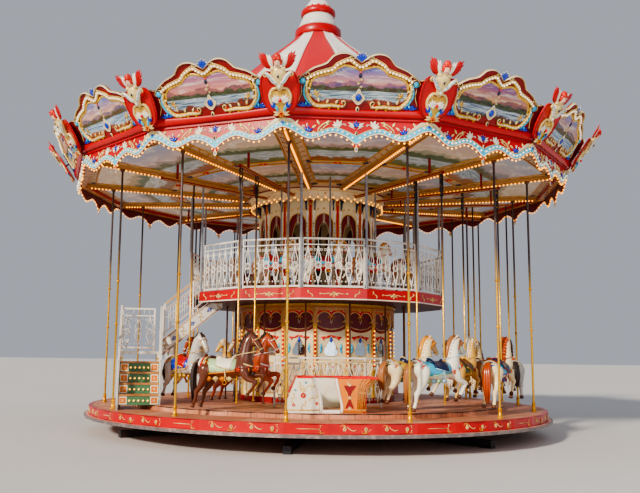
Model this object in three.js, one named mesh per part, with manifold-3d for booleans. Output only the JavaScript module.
// A double-deck fairground carousel, in millimetres, +Z up.
// The origin is on the ground at the centre of the ground frame. Angles are in degrees round +Z,
// 0 at the front (-Y) and growing towards +X, so a point at radius r stands at (r sin a, -r cos a).
import * as THREE from "three";
import { mergeVertices } from "three/addons/utils/BufferGeometryUtils.js";
import Module from "manifold-3d";

const wasm = await Module();
wasm.setup();
const { degToRad } = THREE.MathUtils;

// Driving dimensions
const SEAT = 0.3; // gap left where one piece rests on another
const BAYS = 14;
const BAY = 360 / BAYS;
const FIRST_JOINT = -6;
const ROUND = 3 * BAYS; // sides of a round rim

const LIP_RADIUS = 5500;
const LIP_INNER = 5150;
const LIP_BOTTOM = 350;
const LIP_TOP = 410;
const SKIRT_RADIUS = 5400;
const SKIRT_THICKNESS = 70;
const OUTER_DECK_TOP = 600;
const MAIN_DECK_TOP = 700;
const MAIN_DECK_RADIUS = 4450;
const DECK_PLATE = 60;
const BEARING_TOP = 300;

const DRUM_SIDES = 16;
const DRUM_PHASE = -0.66;
const DRUM_RADIUS = 1870;

const UPPER_DECK_TOP = 3180;
const UPPER_PLATE = 40;
const FASCIA_BOTTOM = 2937;
const FASCIA_RADIUS = 3175;
const FASCIA_THICKNESS = 30;
const SOFFIT = 30;
const RAIL_HEIGHT = 1080;
const RAIL_RADIUS = 3120;

const COLONNADE_RADIUS = 1440;
const CORNICE_INNER_RADIUS = 1743;
const RIB_BOTTOM = 5590; // at the inner cornice
const RIB_TOP = 5670;
const RIB_SLOPE = 0.0625; // the ceiling rises towards the rim
const RIB_WIDTH = 110;
const CEILING = 30;
const CEILING_RADIUS = 5780;
const CEILING_HOLE = 200;

const COLUMN_RADIUS = 28;
const COLUMN_PLACE = 3148;
const POLE_RADIUS = 24;
const POLE_PLACE = 5104;

const CORNICE_RADIUS = 5945;
const CORNICE_BOTTOM = 5840;
const CORNICE_FLANGE = 40;
const CROWN_RADIUS = 5995;
const CROWN_BOTTOM = 6017;
const CROWN_RISE = 902;
const CROWN_REACH = 600; // how far the crown leans out over its rise, at the corners
const BOARD_THICKNESS = 40;

const STAIR_ANGLE = -77;
const STAIR_OUTER = 4740;
const STAIR_TURN = 3820; // where the upper flight leaves the landing
const STAIR_NEAR = 990;
const STAIR_FAR = -20;
const LANDING_TOP = 1820;
const LOWER_RISERS = 5;
const LOWER_RUN = 260;
const UPPER_RISERS = 6;
const UPPER_RUN = 270;
const STRINGER = 40;
const TREAD = 40;
const STRINGER_RISE = 250; // top of the upper flight's stringers over the landing, at its foot

const OUTER_ROW = 4650;
const INNER_ROW = 3850;
const HORSE_POLE = 19;
const POLE_SIDES = 6;
const HORSE_HEIGHT = 1500;
const HORSE_LEAD = -200; // from the pole to the middle of the horse, along its heading
const UPPER_ROW = 2450;
const CHARIOT_LEAD = -2; // degrees from the middle of its bay
const DECK_RAIL_RADIUS = 3060;
const DECK_RAIL_HEIGHT = 1040;
const STAIRWELL_BAY = 12; // no horse stands beside the head of the stair
const UPPER_HORSE_HEIGHT = 3790;
const UPPER_HORSE_LEAD = -100;
const UPPER_HORSE_SCALE = 0.75;

const jointAngle = (k) => FIRST_JOINT + k * BAY;
const bayAngle = (k) => jointAngle(k + 0.5);
const ribRise = (radius) => (radius - CORNICE_INNER_RADIUS) * RIB_SLOPE;
const flat = Math.cos(degToRad(BAY / 2)); // apothem over corner radius
const halfSide = Math.tan(degToRad(BAY / 2)); // half a side over the apothem
const bays = [...Array(BAYS).keys()];

// Solids
function solidOf(geometry) {
  const bare = geometry.clone();
  bare.deleteAttribute("normal");
  bare.deleteAttribute("uv");
  const merged = mergeVertices(bare, 1e-3);
  return new wasm.Manifold(
    new wasm.Mesh({
      numProp: 3,
      vertProperties: merged.attributes.position.array,
      triVerts: new Uint32Array(merged.index.array),
    }),
  );
}

function geometryOf(solid) {
  const mesh = solid.getMesh();
  const geometry = new THREE.BufferGeometry();
  geometry.setAttribute("position", new THREE.BufferAttribute(mesh.vertProperties, 3));
  geometry.setIndex(new THREE.BufferAttribute(mesh.triVerts, 1));
  return geometry;
}

function join(pieces) {
  return geometryOf(pieces.map(solidOf).reduce((whole, piece) => whole.add(piece)));
}

function cut(geometry, ...tools) {
  return geometryOf(tools.reduce((whole, tool) => whole.subtract(solidOf(tool)), solidOf(geometry)));
}

function slab(x0, x1, y0, y1, z0, z1) {
  const box = new THREE.BoxGeometry(x1 - x0, y1 - y0, z1 - z0);
  return box.translate((x0 + x1) / 2, (y0 + y1) / 2, (z0 + z1) / 2);
}

// A piece made at the front, with y as minus the radius, turned to its angle.
function turnTo(geometry, angle) {
  return geometry.clone().rotateZ(degToRad(angle));
}

// An upright round bar at (x, y).
function upright(x, y, radius, z0, z1, sides = 10, topRadius = radius) {
  const bar = new THREE.CylinderGeometry(topRadius, radius, z1 - z0, sides);
  return bar.rotateX(Math.PI / 2).translate(x, y, (z0 + z1) / 2);
}

// A round bar from one point to another.
function rod(from, to, radius, endRadius = radius, sides = 6) {
  const a = new THREE.Vector3(...from);
  const b = new THREE.Vector3(...to);
  const bar = new THREE.CylinderGeometry(endRadius, radius, a.distanceTo(b), sides);
  const turn = new THREE.Quaternion().setFromUnitVectors(
    new THREE.Vector3(0, 1, 0),
    b.clone().sub(a).normalize(),
  );
  return bar.applyQuaternion(turn).translate(...a.add(b).multiplyScalar(0.5).toArray());
}

function ball(x, y, z, rx, ry, rz, around = 8, rows = 6) {
  const ball = new THREE.SphereGeometry(1, around, rows).rotateX(Math.PI / 2);
  return ball.scale(rx, ry, rz).translate(x, y, z);
}

// A ring whose section is a closed outline of [radius, height], running anticlockwise.
function ringOf(section, sides = BAYS, phase = FIRST_JOINT) {
  const outline = [...section, section[0]].map(([r, z]) => new THREE.Vector2(r, z));
  return new THREE.LatheGeometry(outline, sides, degToRad(phase)).rotateX(Math.PI / 2);
}

function flatRing(inner, outer, z0, z1, sides = BAYS, phase = FIRST_JOINT) {
  return ringOf([[inner, z0], [outer, z0], [outer, z1], [inner, z1]], sides, phase);
}

// A flat plate: an outline in x and height, its outer face at the given distance from the axis.
function plate(outline, thickness, distance, holes = []) {
  const shape = new THREE.Shape(outline.map(([x, z]) => new THREE.Vector2(x, z)));
  holes.forEach((hole) => shape.holes.push(new THREE.Path(hole.map(([x, z]) => new THREE.Vector2(x, z)))));
  const slice = new THREE.ExtrudeGeometry(shape, { depth: thickness, bevelEnabled: false });
  return slice.rotateX(Math.PI / 2).translate(0, thickness - distance, 0);
}

// A plate in radius and height, from x0 to x1, for stair sides.
function sideways(outline, x0, x1) {
  const shape = new THREE.Shape(outline.map(([r, z]) => new THREE.Vector2(r, z)));
  const slice = new THREE.ExtrudeGeometry(shape, { depth: x1 - x0, bevelEnabled: false });
  return slice.rotateX(Math.PI / 2).rotateZ(-Math.PI / 2).translate(x1, 0, 0);
}

// Fixed base
function makeBaseFrame() {
  const arm = [
    [400, 20], [2450, 20], [2450, 0], [2750, 0], [2750, 20], [4630, 20], [4630, 0], [4930, 0],
    [4930, 150], [400, 150],
  ];
  const arms = [...Array(7).keys()].map((k) => turnTo(sideways(arm, -75, 75), jointAngle(2 * k)));
  const hub = upright(0, 0, 640, 0, 160, BAYS);
  const bearing = flatRing(380, 600, 160 - 1, BEARING_TOP);
  return join([hub, bearing, ...arms]);
}

function makeMast() {
  const foot = upright(0, 0, 260, 160 + SEAT, 220, 16);
  return join([foot, upright(0, 0, 110, 200, 5600, 16)]);
}

// Platform
function makeDeckFrame() {
  const plateBottom = MAIN_DECK_TOP - DECK_PLATE - SEAT;
  const lowTop = OUTER_DECK_TOP - DECK_PLATE - SEAT;
  const tip = SKIRT_RADIUS - SKIRT_THICKNESS - 5;
  const bottom = LIP_TOP + SEAT;
  const beam = [
    [820, bottom], [tip, bottom], [tip, lowTop], [4395, lowTop], [4395, plateBottom], [820, plateBottom],
  ];
  const hub = flatRing(380, 900, BEARING_TOP + 0.5, plateBottom);
  return join([hub, ...bays.map((k) => turnTo(sideways(beam, -50, 50), jointAngle(k)))]);
}

function makeMainDeck() {
  const top = flatRing(380, MAIN_DECK_RADIUS, MAIN_DECK_TOP - DECK_PLATE, MAIN_DECK_TOP, ROUND);
  const riserTop = MAIN_DECK_TOP - DECK_PLATE + 1;
  const riser = flatRing(4410, MAIN_DECK_RADIUS, OUTER_DECK_TOP + SEAT, riserTop, ROUND);
  return join([top, riser]);
}

// Lower drum: sixteen panels with pilasters at the corners, a plinth and a flared head.
function makeLowerDrum() {
  const top = FASCIA_BOTTOM - SEAT;
  const bottom = MAIN_DECK_TOP + SEAT;
  const shell = ringOf(
    [
      [DRUM_RADIUS - 70, bottom],
      [DRUM_RADIUS + 45, bottom],
      [DRUM_RADIUS + 45, 860],
      [DRUM_RADIUS, 890],
      [DRUM_RADIUS, 2840],
      [DRUM_RADIUS + 110, top - 40],
      [DRUM_RADIUS + 110, top],
      [DRUM_RADIUS - 70, top],
    ],
    DRUM_SIDES,
    DRUM_PHASE,
  );
  const step = 360 / DRUM_SIDES;
  const face = DRUM_RADIUS * Math.cos(degToRad(step / 2));
  const mirror = slab(-215, 215, -face - 25, -face + 10, 1700, 2290);
  const panel = slab(-250, 250, -face - 20, -face + 10, 960, 1560);
  const arch = slab(-300, 300, -face - 30, -face + 10, 2390, 2480);
  const pilaster = slab(-45, 45, -DRUM_RADIUS - 30, -DRUM_RADIUS + 30, 860, 2860);
  const trims = [...Array(DRUM_SIDES).keys()].flatMap((k) => [
    turnTo(pilaster, DRUM_PHASE + k * step),
    ...[mirror, panel, arch].map((piece) => turnTo(piece, DRUM_PHASE + (k + 0.5) * step)),
  ]);
  return join([shell, ...trims]);
}

// Upper deck, open over the upper flight of the stair
const stairwell = turnTo(slab(-100, 1030, -3600, -2440, 2900, 3300), STAIR_ANGLE);
const STAIR_BAY = 11;

function makeUpperDeck() {
  const outer = FASCIA_RADIUS - FASCIA_THICKNESS - SEAT;
  const bottom = UPPER_DECK_TOP - UPPER_PLATE;
  return cut(flatRing(1200, outer, bottom, UPPER_DECK_TOP), stairwell);
}

function makeUpperDeckFrame() {
  const top = UPPER_DECK_TOP - UPPER_PLATE - SEAT;
  const bottom = FASCIA_BOTTOM + SOFFIT + SEAT;
  const outer = FASCIA_RADIUS - FASCIA_THICKNESS - SEAT;
  const ring = flatRing(1200, 1420, bottom, top);
  const beam = slab(-40, 40, -outer + 12, -1350, bottom, top);
  const beams = bays.filter((k) => k !== STAIR_BAY + 1).map((k) => turnTo(beam, jointAngle(k)));
  return join([ring, ...beams]);
}

function makeSoffit() {
  const outer = FASCIA_RADIUS - FASCIA_THICKNESS - SEAT;
  return cut(flatRing(1200, outer, FASCIA_BOTTOM, FASCIA_BOTTOM + SOFFIT), stairwell);
}

function makeFascia() {
  const ring = flatRing(FASCIA_RADIUS - FASCIA_THICKNESS, FASCIA_RADIUS, FASCIA_BOTTOM, UPPER_DECK_TOP);
  const half = FASCIA_RADIUS * flat * halfSide;
  const opening = slab(-half, half, -FASCIA_RADIUS - 50, -2600, FASCIA_BOTTOM - 50, UPPER_DECK_TOP + 50);
  return cut(ring, turnTo(opening, bayAngle(STAIR_BAY)));
}

// Railing of some neighbouring bays: each a frame with upright bars and a handrail
function makeRailing(list) {
  const face = RAIL_RADIUS * flat;
  const half = face * halfSide;
  const bottom = UPPER_DECK_TOP + SEAT;
  const top = UPPER_DECK_TOP + RAIL_HEIGHT;
  const openings = 4;
  const gap = (x0, x1, z0, z1) => slab(x0, x1, -face - 50, -face + 90, z0, z1);
  const pitch = (2 * half - 190) / openings;
  const panels = list.map((k, i) => {
    const left = -half + (i === 0 ? 55 : 12);
    const right = half - (i === list.length - 1 ? 55 : 12);
    const frame = slab(left, right, -face, -face + 36, bottom + 5, top);
    const holes = [...Array(openings).keys()].map((n) => {
      const from = -half + 95 + n * pitch + 9;
      return gap(from, from + pitch - 18, bottom + 45, top - 190);
    });
    return turnTo(cut(frame, ...holes, gap(-half + 95, half - 95, top - 160, top - 45)), bayAngle(k));
  });
  const post = slab(-28, 28, -RAIL_RADIUS + 2, -RAIL_RADIUS + 56, bottom, top + 10);
  const posts = list.slice(1).map((k) => turnTo(post, jointAngle(k)));
  return join([...panels, ...posts]);
}

// Upper drum: an open colonnade of arches
function makeColonnade() {
  const face = COLONNADE_RADIUS * flat;
  const half = face * halfSide;
  const bottom = UPPER_DECK_TOP + SEAT;
  const hole = [[-half + 105, bottom + 150], [half - 105, bottom + 150]];
  for (let n = 0; n <= 4; n++) {
    const turn = (n * Math.PI) / 4;
    hole.push([(half - 105) * Math.cos(turn), 4830 + 270 * Math.sin(turn)]);
  }
  const wall = [[-half - 8, bottom], [half + 8, bottom], [half + 8, RIB_TOP], [-half - 8, RIB_TOP]];
  const panel = plate(wall, 60, face, [hole]);
  return join(bays.map((k) => turnTo(panel, bayAngle(k))));
}

function makeInnerCornice() {
  const inner = COLONNADE_RADIUS + 15;
  return ringOf([
    [inner, 5400],
    [inner + 40, 5400],
    [CORNICE_INNER_RADIUS, RIB_BOTTOM],
    [CORNICE_INNER_RADIUS, RIB_TOP],
    [inner, RIB_TOP],
  ]);
}

// One rib of the ceiling with the column on the upper deck's edge and the pole at the platform's edge
function makeRadialFrame(k) {
  const inner = CORNICE_INNER_RADIUS + SEAT;
  const outer = CEILING_RADIUS - 15;
  const outline = [
    [inner, RIB_BOTTOM + ribRise(inner)],
    [outer, RIB_BOTTOM + ribRise(outer)],
    [outer, RIB_TOP + ribRise(outer)],
    [inner, RIB_TOP + ribRise(inner)],
  ];
  const rib = sideways(outline, -RIB_WIDTH / 2, RIB_WIDTH / 2);
  const head = (place) => RIB_BOTTOM + ribRise(place) + 10;
  const column = upright(0, -COLUMN_PLACE, COLUMN_RADIUS, UPPER_DECK_TOP + SEAT, head(COLUMN_PLACE), 8);
  const pole = upright(0, -POLE_PLACE, POLE_RADIUS, OUTER_DECK_TOP + SEAT, head(POLE_PLACE), 8);
  return turnTo(join([rib, column, pole]), jointAngle(k));
}

function makeCeiling() {
  const outer = CEILING_RADIUS - SEAT;
  const under = [
    [CEILING_HOLE, RIB_TOP + SEAT],
    [CORNICE_INNER_RADIUS, RIB_TOP + SEAT],
    [outer, RIB_TOP + SEAT + ribRise(outer)],
  ];
  const over = under.map(([r, z]) => [r, z + CEILING]).reverse();
  return ringOf([...under, ...over]);
}

function makeCornice() {
  return ringOf([
    [CEILING_RADIUS, CORNICE_BOTTOM],
    [CORNICE_RADIUS, CORNICE_BOTTOM],
    [CORNICE_RADIUS, CROWN_BOTTOM - CORNICE_FLANGE],
    [CROWN_RADIUS, CROWN_BOTTOM - CORNICE_FLANGE],
    [CROWN_RADIUS, CROWN_BOTTOM],
    [CEILING_RADIUS, CROWN_BOTTOM],
  ]);
}

// Scalloped valance: high at the corners, low at the quarters, a cusp at the middle of each bay
const HEM_HIGH = 5810;
const HEM_LOW = 5610;
const HEM_ARCH = 120; // rise of the two arches beside the cusp
const HEM_QUARTER = 0.62; // share of the half bay from its middle to the low point
const HEM_CUSP = 80;

function hemHeight(share) {
  if (share > HEM_QUARTER) {
    const rise = Math.sin((Math.PI / 2) * (share - HEM_QUARTER) / (1 - HEM_QUARTER)) ** 2;
    return HEM_LOW + (HEM_HIGH - HEM_LOW) * rise;
  }
  const arch = Math.sin((Math.PI * share) / HEM_QUARTER) ** 2;
  return HEM_LOW + HEM_ARCH * arch - HEM_CUSP * Math.max(0, 1 - share * 8);
}

function makeValance() {
  const thickness = 25;
  const radius = CORNICE_RADIUS + SEAT + 26;
  const face = radius * flat;
  const width = face * halfSide - 10;
  const top = CROWN_BOTTOM - CORNICE_FLANGE - SEAT;
  const hem = [];
  for (let n = 0; n <= 16; n++) {
    const share = n / 8 - 1;
    hem.push([share * width, hemHeight(Math.abs(share))]);
  }
  const panel = plate([...hem, [width, top], [-width, top]], thickness, face);
  const corner = slab(-20, 20, -radius - 3, -radius + thickness, HEM_HIGH - 5, top - 5);
  return join(bays.flatMap((k) => [turnTo(panel, bayAngle(k)), turnTo(corner, jointAngle(k))]));
}

// Crown: leaning boards, and shields with winged figures over the joints
const lean = Math.atan2(CROWN_REACH, CROWN_RISE);
const boardLean = Math.atan2(CROWN_REACH * flat, CROWN_RISE);
const boardLift = BOARD_THICKNESS * Math.sin(boardLean) + SEAT;
const boardFoot = CROWN_RADIUS * flat - 40; // the boards' back face at its foot, from the axis

// Half of a board's crest, from its end to its middle: share of the half bay, and height up the lean
const BOARD_CREST = [
  [1, 700], [0.9, 745], [0.78, 725], [0.67, 810], [0.55, 930], [0.43, 1070], [0.31, 1140], [0.2, 1140],
  [0.1, 1065], [0, 990],
];

function makeBoard() {
  const half = CROWN_RADIUS * flat * halfSide - 40;
  const flare = Math.sin(boardLean) * halfSide;
  const right = BOARD_CREST.map(([share, height]) => [share * (half + flare * height), height]);
  const left = right.slice(0, -1).reverse().map(([x, height]) => [-x, height]);
  const outline = [[-half, 0], [half, 0], ...right, ...left];
  const shape = new THREE.Shape(outline.map(([x, s]) => new THREE.Vector2(x, s)));
  const slice = new THREE.ExtrudeGeometry(shape, { depth: BOARD_THICKNESS, bevelEnabled: false });
  return slice.rotateX(Math.PI / 2 + boardLean).translate(0, -boardFoot, CROWN_BOTTOM + boardLift);
}

function makeBoards() {
  const sill = flatRing(5890, 5975, CROWN_BOTTOM + SEAT, CROWN_BOTTOM + 60);
  return join([sill, ...bays.map((k) => turnTo(makeBoard(), bayAngle(k)))]);
}

function makeShields() {
  const up = ([x, s, n]) => [
    x,
    -(CROWN_RADIUS + s * Math.sin(lean) + n * Math.cos(lean)),
    CROWN_BOTTOM + s * Math.cos(lean) - n * Math.sin(lean),
  ];
  const hoop = 6420; // height of the hoop behind the boards that carries the shields
  const back = (boardFoot + (hoop - CROWN_BOTTOM - boardLift) * Math.tan(boardLean)) / flat - 2 * SEAT;
  const ring = flatRing(back - 60, back, hoop, hoop + 60);
  // right half: shield to its shoulder, wing, then the head
  const half = [
    [70, 60], [230, 120], [335, 330], [345, 620], [290, 760], [200, 820], [360, 1040], [350, 1140],
    [240, 1070], [115, 930], [95, 1060], [45, 1155],
  ];
  const left = half.map(([x, s]) => [-x, s]).reverse();
  const outline = [...half, ...left].map(([x, s]) => new THREE.Vector2(x, s));
  const slice = new THREE.ExtrudeGeometry(new THREE.Shape(outline), { depth: 90, bevelEnabled: false });
  const shield = slice.rotateX(Math.PI / 2 + lean).translate(...up([0, 0, 55]));
  const web = rod(up([0, 460, -120]), up([0, 520, 80]), 18, 18, 4);
  const one = join([shield, web]);
  return join([ring, ...bays.map((k) => turnTo(one, jointAngle(k)))]);
}

// Roof
function makeTent() {
  const outer = [
    [5760, 6100], [5000, 6480], [4000, 7050], [2800, 7900], [1540, 9080], [860, 9660], [600, 9950],
  ];
  const inner = outer.map(([r, z]) => [r - 25, z - 35]).reverse();
  inner.pop();
  const foot = [[5700, CROWN_BOTTOM + SEAT], [5860, CROWN_BOTTOM + SEAT], [5860, 6060]];
  return ringOf([...foot, ...outer, ...inner, [5700, 6080]]);
}

function makeLantern() {
  const profile = [
    [0, 9950 + SEAT], [640, 9950 + SEAT], [660, 10020], [600, 10110], [470, 10160], [360, 10640], [440, 10700],
    [470, 10780], [400, 10860], [250, 10900], [130, 11250], [160, 11320], [90, 11420], [60, 11700], [0, 11950],
  ];
  const outline = profile.map(([r, z]) => new THREE.Vector2(r, z));
  return new THREE.LatheGeometry(outline, BAYS, degToRad(FIRST_JOINT)).rotateX(Math.PI / 2);
}

// Stair: made with x along the lower flight and y as minus the radius, then turned to its place
const lowerRise = (LANDING_TOP - MAIN_DECK_TOP) / LOWER_RISERS;
const upperRise = (UPPER_DECK_TOP - LANDING_TOP) / UPPER_RISERS;
const lowerFoot = STAIR_NEAR + (LOWER_RISERS - 1) * LOWER_RUN;
const upperHead = STAIR_TURN - (UPPER_RISERS - 1) * UPPER_RUN;

function makeLowerFlight() {
  const pieces = [];
  for (let n = 1; n < LOWER_RISERS; n++) {
    const front = lowerFoot - (n - 1) * LOWER_RUN;
    const top = MAIN_DECK_TOP + n * lowerRise;
    const bottom = n === 1 ? MAIN_DECK_TOP + SEAT : top - lowerRise - 5;
    pieces.push(slab(front - LOWER_RUN - 15, front, -STAIR_OUTER + 20, -STAIR_TURN - 20, top - TREAD, top));
    pieces.push(slab(front - 35, front - 15, -STAIR_OUTER + 20, -STAIR_TURN - 20, bottom, top - TREAD + 5));
  }
  const foot = lowerFoot + 20;
  const head = STAIR_NEAR + SEAT;
  const side = (y, base) => {
    const outline = [[head, base], [foot, base], [foot, 1640], [head, 2840]];
    const shape = new THREE.Shape(outline.map(([x, z]) => new THREE.Vector2(x, z)));
    const slice = new THREE.ExtrudeGeometry(shape, { depth: STRINGER, bevelEnabled: false });
    return slice.rotateX(Math.PI / 2).translate(0, y + STRINGER, 0);
  };
  pieces.push(side(-STAIR_OUTER, OUTER_DECK_TOP + SEAT), side(-STAIR_TURN - STRINGER, MAIN_DECK_TOP + SEAT));
  return join(pieces.map((piece) => cut(piece, slab(0, head, -6000, 0, 0, 4000))));
}

function makeLanding() {
  const plateBottom = LANDING_TOP - 60;
  const top = slab(STAIR_FAR, STAIR_NEAR, -STAIR_OUTER, -STAIR_TURN, plateBottom, LANDING_TOP);
  const posts = [STAIR_FAR + 35, STAIR_NEAR - 45].flatMap((x) => [
    slab(x - 35, x + 35, -STAIR_OUTER + 2, -STAIR_OUTER + 72, OUTER_DECK_TOP + SEAT, plateBottom + 5),
    slab(x - 35, x + 35, -STAIR_TURN - 90, -STAIR_TURN - 20, MAIN_DECK_TOP + SEAT, plateBottom + 5),
  ]);
  return join([top, ...posts]);
}

function makeUpperFlight() {
  const pieces = [];
  const near = STAIR_NEAR - STRINGER;
  for (let n = 1; n < UPPER_RISERS; n++) {
    const front = STAIR_TURN - SEAT - (n - 1) * UPPER_RUN;
    const top = LANDING_TOP + n * upperRise;
    pieces.push(slab(STAIR_FAR + 10, near + 10, -front, -front + UPPER_RUN + 15, top - TREAD, top));
  }
  const head = upperHead - 15;
  const foot = STAIR_TURN - SEAT;
  const slope = upperRise / UPPER_RUN;
  const deep = 380;
  const outline = [
    [foot, LANDING_TOP + STRINGER_RISE - deep],
    [foot, LANDING_TOP + STRINGER_RISE],
    [head, LANDING_TOP + STRINGER_RISE + (foot - head) * slope],
    [head, LANDING_TOP + STRINGER_RISE - deep + (foot - head) * slope],
  ];
  pieces.push(sideways(outline, STAIR_FAR, STAIR_FAR + STRINGER), sideways(outline, near, near + STRINGER));
  pieces.push(makeFlightRail(STAIR_FAR, -20));
  return join(pieces);
}

// Handrail of the upper flight, its posts' feet raised or sunk by the given amount over a stringer
function makeFlightRail(x, foothold) {
  const slope = upperRise / UPPER_RUN;
  const foot = STAIR_TURN - 60;
  const head = upperHead + 20;
  const level = (r) => LANDING_TOP + STRINGER_RISE + (STAIR_TURN - SEAT - r) * slope;
  const bars = [120, 630, 780].map((up) => {
    const outline = [
      [foot + 20, level(foot + 20) + up - 20],
      [foot + 20, level(foot + 20) + up + 20],
      [head - 20, level(head - 20) + up + 20],
      [head - 20, level(head - 20) + up - 20],
    ];
    return sideways(outline, x + 5, x + 35);
  });
  const posts = [foot, (foot + head) / 2, head].map((r) => {
    const outline = [
      [r - 20, level(r - 20) + foothold],
      [r - 20, level(r) + 790],
      [r + 20, level(r) + 790],
      [r + 20, level(r + 20) + foothold],
    ];
    return sideways(outline, x + 5, x + 35);
  });
  return join([...bars, ...posts]);
}

function makeLandingRail() {
  const top = LANDING_TOP + 1020;
  const bottom = LANDING_TOP + SEAT;
  const back = STAIR_FAR + 10;
  const out = -STAIR_OUTER;
  const heights = [[top - 40, top], [top - 200, top - 170], [bottom + 60, bottom + 100]];
  const bars = heights.flatMap(([z0, z1]) => [
    slab(back, back + 35, out + 5, -STAIR_TURN - 120, z0, z1),
    slab(back, STAIR_NEAR - 5, out + 5, out + 40, z0, z1),
  ]);
  const posts = [
    slab(back, back + 45, out + 5, out + 50, bottom, top),
    slab(back, back + 45, -STAIR_TURN - 165, -STAIR_TURN - 120, bottom, top),
    slab(STAIR_NEAR - 50, STAIR_NEAR - 5, out + 5, out + 50, bottom, top),
  ];
  return join([...bars, ...posts]);
}

// Horse: faces +X, with its pole upright through its withers
function makeHorse(row, poleFoot, poleTop, height = HORSE_HEIGHT, lead = HORSE_LEAD, scale = 1) {
  const side = [
    [-430, 180], [170, 180], [290, 230], [490, 610], [560, 620], [750, 370], [710, 290], [590, 330],
    [500, -110], [630, -300], [470, -500], [400, -500], [520, -310], [310, -190], [-240, -170], [-390, -330],
    [-550, -560], [-630, -560], [-510, -330], [-520, -80], [-690, -270], [-610, 60],
  ];
  const shape = new THREE.Shape([...side].reverse().map(([x, z]) => new THREE.Vector2(x, z)));
  const slice = new THREE.ExtrudeGeometry(shape, { depth: 170, bevelEnabled: false });
  const trunk = slice.rotateX(Math.PI / 2).translate(0, 85, 0);
  const body = [trunk, ball(0, 0, 0, 480, 190, 205, 8, 4)].map((piece) =>
    piece.scale(scale, scale, scale).translate(lead, 0, height),
  );
  const pole = upright(0, 0, HORSE_POLE, poleFoot, poleTop, POLE_SIDES);
  return join([...body, pole]).translate(0, -row, 0);
}

const HORSE_POLE_FOOT = MAIN_DECK_TOP + 170;
const HORSE_POLE_TOP = 5240;

const CRANK_BOTTOM = 5440;

function makeUpperHorse(poleTop) {
  const size = [UPPER_HORSE_HEIGHT, UPPER_HORSE_LEAD, UPPER_HORSE_SCALE];
  return makeHorse(UPPER_ROW, UPPER_DECK_TOP + SEAT, poleTop, ...size);
}

// Beam from the inner cornice to the outer row; it also holds the pole of an upper deck's horse
function makeBeam(withUpperHorse) {
  const near = -CORNICE_INNER_RADIUS * flat - 2;
  const beam = slab(-30, 30, -OUTER_ROW - 60, near, CRANK_BOTTOM, CRANK_BOTTOM + 60);
  const hangers = [2100, 4300].map((r) =>
    slab(-20, 20, -r - 20, -r + 20, CRANK_BOTTOM + 50, RIB_TOP + ribRise((r - 20) / flat)),
  );
  return [beam, ...hangers, ...(withUpperHorse ? [makeUpperHorse(CRANK_BOTTOM + 5)] : [])];
}

// Crank beam under the ceiling, with two cheeks on each horse's pole
function makeCrankBeam(k) {
  const cheek = HORSE_POLE * Math.cos(Math.PI / POLE_SIDES) + SEAT;
  const jaws = [OUTER_ROW, INNER_ROW].flatMap((r) =>
    [-1, 1].map((side) => {
      const near = side * cheek;
      const far = side * (cheek + 16);
      const across = [Math.min(near, far), Math.max(near, far)];
      return slab(...across, -r - 22, -r + 22, CRANK_BOTTOM - 460, CRANK_BOTTOM + 5);
    }),
  );
  return turnTo(join([...makeBeam(true), ...jaws]), bayAngle(k));
}

function makeMovingHorse(k, row) {
  return turnTo(makeHorse(row, HORSE_POLE_FOOT, HORSE_POLE_TOP), bayAngle(k));
}

// Horses whose poles are fixed to one crank beam; only the inner one stands beside the foot of the stair
function makeFixedPair(k) {
  const besideStair = k === STAIRWELL_BAY;
  const rows = besideStair ? [INNER_ROW] : [OUTER_ROW, INNER_ROW];
  const lead = besideStair ? HORSE_LEAD / 2 : HORSE_LEAD;
  const horses = rows.map((row) => makeHorse(row, HORSE_POLE_FOOT, CRANK_BOTTOM + 5, HORSE_HEIGHT, lead));
  return turnTo(join([...makeBeam(!besideStair), ...horses]), bayAngle(k));
}

// Chariot like a sleigh: two facing seats between side boards, its entrance open towards the rim
function makeChariot(k) {
  const floor = MAIN_DECK_TOP + SEAT;
  const inner = -3500;
  const outer = -4380;
  const back = [[-930, floor], [-930, 900], [-735, 1380]];
  const prow = [[865, 1380], [690, 1300], [610, 1100], [590, floor]];
  const whole = [...back, ...prow];
  const aft = [...back, [-400, 1380], [-280, 1100], [-240, 860], [-240, floor]];
  const fore = [[100, floor], [100, 860], [40, 1100], [-20, 1380], ...prow];
  const board = (outline, y) => {
    const shape = new THREE.Shape([...outline].reverse().map(([x, z]) => new THREE.Vector2(x, z)));
    const slice = new THREE.ExtrudeGeometry(shape, { depth: 45, bevelEnabled: false });
    return slice.rotateX(Math.PI / 2).translate(0, y + 45, 0);
  };
  const across = (outline) => {
    const shape = new THREE.Shape([...outline].reverse().map(([x, z]) => new THREE.Vector2(x, z)));
    const slice = new THREE.ExtrudeGeometry(shape, { depth: inner - outer - 20, bevelEnabled: false });
    return slice.rotateX(Math.PI / 2).translate(0, inner - 10, 0);
  };
  const pieces = [
    board(aft, outer),
    board(fore, outer),
    board(whole, inner - 45),
    across([[-925, floor + 5], [-925, 895], [-730, 1370], [-680, 1370], [-875, 885], [-875, floor + 5]]),
    across([[855, 1370], [685, 1296], [605, 1098], [585, floor + 5], [535, floor + 5], [555, 1110], [650, 1335]]),
    slab(-920, 580, outer + 10, inner - 10, floor, floor + 60),
    slab(-880, -440, outer + 10, inner - 10, floor + 5, floor + 400),
    slab(200, 580, outer + 10, inner - 10, floor + 5, floor + 400),
  ];
  return turnTo(join(pieces), bayAngle(k) + CHARIOT_LEAD);
}

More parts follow.
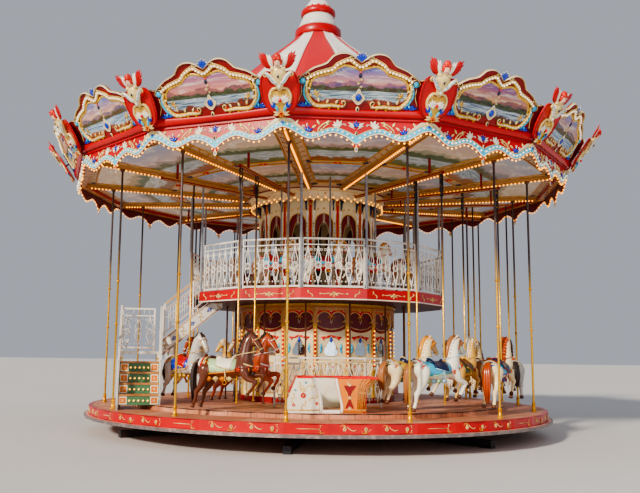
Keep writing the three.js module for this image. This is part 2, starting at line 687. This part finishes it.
// Railing of the platform between the chariot and the drum: three straight lengths around two corners
function makeDeckRailing() {
  const face = DECK_RAIL_RADIUS * flat;
  const half = face * halfSide;
  const foot = MAIN_DECK_TOP + SEAT;
  const top = MAIN_DECK_TOP + DECK_RAIL_HEIGHT;
  const lengths = [[13, half - 600, half + 4], [0, -half - 4, half + 4], [1, -half - 4, -half + 440]];
  const bars = lengths.flatMap(([k, x0, x1]) =>
    [[top - 35, top], [foot + 60, foot + 90]].map(([z0, z1]) =>
      turnTo(slab(x0, x1, -face, -face + 30, z0, z1), bayAngle(k)),
    ),
  );
  const thick = turnTo(slab(half - 600, half - 10, -face, -face + 30, top - 160, top - 115), bayAngle(13));
  const post = (x, k) => turnTo(slab(x - 18, x + 18, -face - 3, -face + 33, foot, top + 5), bayAngle(k));
  const posts = [post(half - 582, 13), post(half - 5, 13), post(0, 0), post(half - 5, 0), post(-half + 422, 1)];
  return join([...bars, thick, ...posts]);
}

// Materials
const finish = (color, roughness, metalness) =>
  new THREE.MeshStandardMaterial({ color, roughness, metalness });
const materials = {
  steel: finish(0x4a4a4c, 0.6, 0.7),
  planks: finish(0x8d6a55, 0.7, 0),
  red: finish(0xb3202a, 0.45, 0),
  lip: finish(0xd8a89a, 0.6, 0),
  cream: finish(0xe8dcc0, 0.5, 0),
  white: finish(0xf2efe6, 0.5, 0),
  tan: finish(0xb08a5c, 0.6, 0),
  soffit: finish(0x3a2430, 0.8, 0),
  picture: finish(0xc9c3a8, 0.6, 0),
  tent: finish(0xc8252c, 0.7, 0),
  hide: finish(0xc9b48c, 0.5, 0),
};

const carousel = new THREE.Group();
function add(name, geometry, material) {
  const mesh = new THREE.Mesh(geometry, materials[material]);
  mesh.name = name;
  carousel.add(mesh);
}

const two = (n) => String(n).padStart(2, "0");
const skirtInner = SKIRT_RADIUS - SKIRT_THICKNESS;

add("base_frame", makeBaseFrame(), "steel");
add("centre_mast", makeMast(), "steel");
add("deck_frame", makeDeckFrame(), "steel");
add("platform_lip", flatRing(LIP_INNER, LIP_RADIUS, LIP_BOTTOM, LIP_TOP, ROUND), "lip");
add("platform_skirt", flatRing(skirtInner, SKIRT_RADIUS, LIP_TOP + SEAT, OUTER_DECK_TOP, ROUND), "red");
const outerDeckBottom = OUTER_DECK_TOP - DECK_PLATE;
add("outer_deck", flatRing(4410, skirtInner - SEAT, outerDeckBottom, OUTER_DECK_TOP, ROUND), "planks");
add("main_deck", makeMainDeck(), "planks");
add("lower_drum", makeLowerDrum(), "cream");
add("upper_deck", makeUpperDeck(), "planks");
add("upper_deck_frame", makeUpperDeckFrame(), "steel");
add("upper_soffit", makeSoffit(), "soffit");
add("upper_fascia", makeFascia(), "red");
add("upper_railing_front", makeRailing([12, 13, 0, 1, 2, 3]), "white");
add("upper_railing_rear", makeRailing([4, 5, 6, 7, 8, 9, 10]), "white");
add("upper_drum", makeColonnade(), "cream");
add("inner_cornice", makeInnerCornice(), "cream");
bays.forEach((k) => add(`radial_frame_${two(k + 1)}`, makeRadialFrame(k), "tan"));
add("ceiling", makeCeiling(), "picture");
add("canopy_cornice", makeCornice(), "red");
add("valance", makeValance(), "cream");
add("crown_boards", makeBoards(), "picture");
add("crown_shields", makeShields(), "red");
add("tent_roof", makeTent(), "tent");
add("roof_lantern", makeLantern(), "white");
add("stair_lower_flight", turnTo(makeLowerFlight(), STAIR_ANGLE), "white");
add("stair_landing", turnTo(makeLanding(), STAIR_ANGLE), "white");
add("stair_upper_flight", turnTo(makeUpperFlight(), STAIR_ANGLE), "white");
add("stair_landing_rail", turnTo(makeLandingRail(), STAIR_ANGLE), "white");
add("stair_rail_near", turnTo(makeFlightRail(STAIR_NEAR - STRINGER, SEAT), STAIR_ANGLE), "white");
add("deck_railing", makeDeckRailing(), "white");
add("chariot_front", makeChariot(0), "white");
add("chariot_rear", makeChariot(6), "white");
[13, 1, 2].forEach((k) => {
  add(`crank_beam_${two(k + 1)}`, makeCrankBeam(k), "steel");
  add(`horse_${two(k + 1)}_outer`, makeMovingHorse(k, OUTER_ROW), "hide");
  add(`horse_${two(k + 1)}_inner`, makeMovingHorse(k, INNER_ROW), "hide");
});
[12, 3, 4, 8, 9].forEach((k) => add(`horse_pair_${two(k + 1)}`, makeFixedPair(k), "hide"));
const upperPoleTop = RIB_TOP + ribRise(UPPER_ROW / flat - HORSE_POLE);
add("upper_horse_01", turnTo(makeUpperHorse(upperPoleTop), bayAngle(0)), "hide");

export default carousel;
